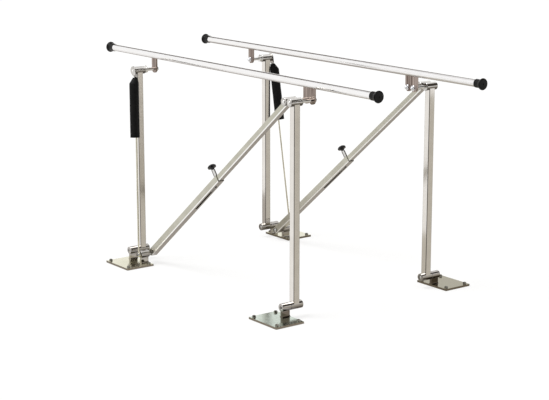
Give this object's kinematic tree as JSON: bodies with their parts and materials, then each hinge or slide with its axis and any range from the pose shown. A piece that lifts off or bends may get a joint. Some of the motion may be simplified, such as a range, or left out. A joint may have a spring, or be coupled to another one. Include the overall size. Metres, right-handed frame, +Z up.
{
  "type": "rehabilitation walking parallel bars",
  "caption": "Walking parallel bars: handrails on hinged square posts with telescopic braces, tension springs and bolted floor plates; each side leans back when its plunger is pulled.",
  "frame": {"origin": "middle of the object on the floor: halfway between the handrails and halfway along them, level with the undersides of the floor plates", "axes": "+X along the handrails towards the single front stands, +Y across to the left handrail, +Z up"},
  "size_m": [1.964, 1.064, 0.9744],
  "materials": {
    "plated_plate": "polished plated steel with a slight green and yellow tint",
    "chrome_joint": "polished nickel or chrome plate",
    "chrome_hanger": "polished chrome plate",
    "chrome_pin": "polished chrome plate",
    "chrome_screws": "bright plated",
    "satin_rail": "satin stainless steel, nearly white",
    "polished_post": "polished stainless steel",
    "brushed_brace": "matte brushed steel with a warm grey green tone",
    "black_rubber": "smooth black rubber",
    "black_screw": "blackened steel",
    "black_plastic": "glossy black plastic",
    "spring_wire": "drawn spring wire",
    "black_cover": "smooth black soft cover",
    "plated_rod": "yellow passivated plate"
  },
  "bodies": {
    "base": {"right_rear_base_plate": "plated_plate", "left_rear_base_plate": "plated_plate", "right_front_base_plate": "plated_plate", "left_front_base_plate": "plated_plate", "floor_bolts": "chrome_screws", "right_rear_stand": "chrome_joint", "left_rear_stand": "chrome_joint", "right_brace_stand": "chrome_joint", "left_brace_stand": "chrome_joint", "right_front_stand": "chrome_joint", "left_front_stand": "chrome_joint", "stand_set_screws": "chrome_screws", "base_pivot_pins": "chrome_pin", "base_pin_rings": "chrome_pin"},
    "right_rear_post": {"right_rear_post_tube": "polished_post", "right_rear_post_top_barrel": "chrome_joint", "right_rear_post_bottom_barrel": "chrome_joint"},
    "right_front_post": {"right_front_post_tube": "polished_post", "right_front_post_top_barrel": "chrome_joint", "right_front_post_bottom_barrel": "chrome_joint"},
    "right_handrail": {"right_handrail_tube": "satin_rail", "right_handrail_end_caps": "black_rubber", "right_rear_hanger": "chrome_hanger", "right_front_hanger": "chrome_hanger", "right_brace_hanger": "chrome_hanger", "right_top_pivot_pins": "chrome_pin", "right_hanger_cap_nuts": "chrome_screws", "right_pin_collar": "chrome_pin"},
    "right_brace_outer": {"right_brace_outer_tube": "brushed_brace", "right_plunger_body": "chrome_pin"},
    "right_brace_inner": {"right_brace_inner_tube": "brushed_brace", "right_brace_top_barrel": "chrome_joint", "right_brace_stop_screw": "black_screw"},
    "right_plunger": {"right_plunger_knob": "black_plastic"},
    "right_spring": {"right_spring_coil": "spring_wire", "right_spring_cover": "black_cover"},
    "right_spring_rod": {"right_spring_rod": "plated_rod"},
    "left_rear_post": {"left_rear_post_tube": "polished_post", "left_rear_post_top_barrel": "chrome_joint", "left_rear_post_bottom_barrel": "chrome_joint"},
    "left_front_post": {"left_front_post_tube": "polished_post", "left_front_post_top_barrel": "chrome_joint", "left_front_post_bottom_barrel": "chrome_joint"},
    "left_handrail": {"left_handrail_tube": "satin_rail", "left_handrail_end_caps": "black_rubber", "left_rear_hanger": "chrome_hanger", "left_front_hanger": "chrome_hanger", "left_brace_hanger": "chrome_hanger", "left_top_pivot_pins": "chrome_pin", "left_hanger_cap_nuts": "chrome_screws", "left_pin_collar": "chrome_pin"},
    "left_brace_outer": {"left_brace_outer_tube": "brushed_brace", "left_plunger_body": "chrome_pin"},
    "left_brace_inner": {"left_brace_inner_tube": "brushed_brace", "left_brace_top_barrel": "chrome_joint", "left_brace_stop_screw": "black_screw"},
    "left_plunger": {"left_plunger_knob": "black_plastic"},
    "left_spring": {"left_spring_coil": "spring_wire", "left_spring_cover": "black_cover"},
    "left_spring_rod": {"left_spring_rod": "plated_rod"}
  },
  "joints": [
    {"name": "right_fold", "type": "hinge", "parent": "base", "child": "right_rear_post", "pos_m": [-0.591, -0.363, 0.05], "axis": [0, -1, 0], "range_deg": [0, 16]},
    {"name": "right_front_post_turn", "type": "hinge", "parent": "base", "child": "right_front_post", "pos_m": [0.573, -0.363, 0.05], "axis": [0, -1, 0], "range_deg": [0, 16]},
    {"name": "right_handrail_turn", "type": "hinge", "parent": "right_rear_post", "child": "right_handrail", "pos_m": [-0.591, -0.363, 0.887], "axis": [0, -1, 0], "range_deg": [-16, 0]},
    {"name": "right_brace_foot_turn", "type": "hinge", "parent": "base", "child": "right_brace_outer", "pos_m": [-0.496, -0.363, 0.05], "axis": [0, -1, 0], "range_deg": [0, 6.16]},
    {"name": "right_brace_head_turn", "type": "hinge", "parent": "right_handrail", "child": "right_brace_inner", "pos_m": [0.536, -0.363, 0.887], "axis": [0, -1, 0], "range_deg": [0, 6.16]},
    {"name": "right_spring_hook_turn", "type": "hinge", "parent": "right_rear_post", "child": "right_spring", "pos_m": [-0.575, -0.3905, 0.862], "axis": [0, -1, 0], "range_deg": [-0.5, 0]},
    {"name": "right_spring_rod_turn", "type": "hinge", "parent": "base", "child": "right_spring_rod", "pos_m": [-0.496, -0.4398, 0.05], "axis": [0, -1, 0], "range_deg": [0, 15.68]},
    {"name": "right_plunger_pull", "type": "slide", "parent": "right_brace_outer", "child": "right_plunger", "axis": [-0.6299, 0, 0.7767], "range_m": [0, 0.008], "stiffness_N_per_m": 1500, "springref_m": -0.004},
    {"name": "left_fold", "type": "hinge", "parent": "base", "child": "left_rear_post", "pos_m": [-0.591, 0.363, 0.05], "axis": [0, -1, 0], "range_deg": [0, 16]},
    {"name": "left_front_post_turn", "type": "hinge", "parent": "base", "child": "left_front_post", "pos_m": [0.573, 0.363, 0.05], "axis": [0, -1, 0], "range_deg": [0, 16]},
    {"name": "left_handrail_turn", "type": "hinge", "parent": "left_rear_post", "child": "left_handrail", "pos_m": [-0.591, 0.363, 0.887], "axis": [0, -1, 0], "range_deg": [-16, 0]},
    {"name": "left_brace_foot_turn", "type": "hinge", "parent": "base", "child": "left_brace_outer", "pos_m": [-0.496, 0.363, 0.05], "axis": [0, -1, 0], "range_deg": [0, 6.16]},
    {"name": "left_brace_head_turn", "type": "hinge", "parent": "left_handrail", "child": "left_brace_inner", "pos_m": [0.536, 0.363, 0.887], "axis": [0, -1, 0], "range_deg": [0, 6.16]},
    {"name": "left_spring_hook_turn", "type": "hinge", "parent": "left_rear_post", "child": "left_spring", "pos_m": [-0.575, 0.3905, 0.862], "axis": [0, -1, 0], "range_deg": [-0.5, 0]},
    {"name": "left_spring_rod_turn", "type": "hinge", "parent": "base", "child": "left_spring_rod", "pos_m": [-0.496, 0.4398, 0.05], "axis": [0, -1, 0], "range_deg": [0, 15.68]},
    {"name": "left_plunger_pull", "type": "slide", "parent": "left_brace_outer", "child": "left_plunger", "axis": [-0.6299, 0, 0.7767], "range_m": [0, 0.008], "stiffness_N_per_m": 1500, "springref_m": -0.004}
  ],
  "couplings": [
    {"joint": "right_front_post_turn", "follows": "right_fold", "ratio": 1},
    {"joint": "right_handrail_turn", "follows": "right_fold", "ratio": -1},
    {"joint": "right_brace_foot_turn", "follows": "right_fold", "ratio": 0.382},
    {"joint": "right_brace_head_turn", "follows": "right_fold", "ratio": 0.382},
    {"joint": "right_spring_hook_turn", "follows": "right_fold", "ratio": -0.026},
    {"joint": "right_spring_rod_turn", "follows": "right_fold", "ratio": 0.974},
    {"joint": "left_front_post_turn", "follows": "left_fold", "ratio": 1},
    {"joint": "left_handrail_turn", "follows": "left_fold", "ratio": -1},
    {"joint": "left_brace_foot_turn", "follows": "left_fold", "ratio": 0.382},
    {"joint": "left_brace_head_turn", "follows": "left_fold", "ratio": 0.382},
    {"joint": "left_spring_hook_turn", "follows": "left_fold", "ratio": -0.026},
    {"joint": "left_spring_rod_turn", "follows": "left_fold", "ratio": 0.974}
  ]
}
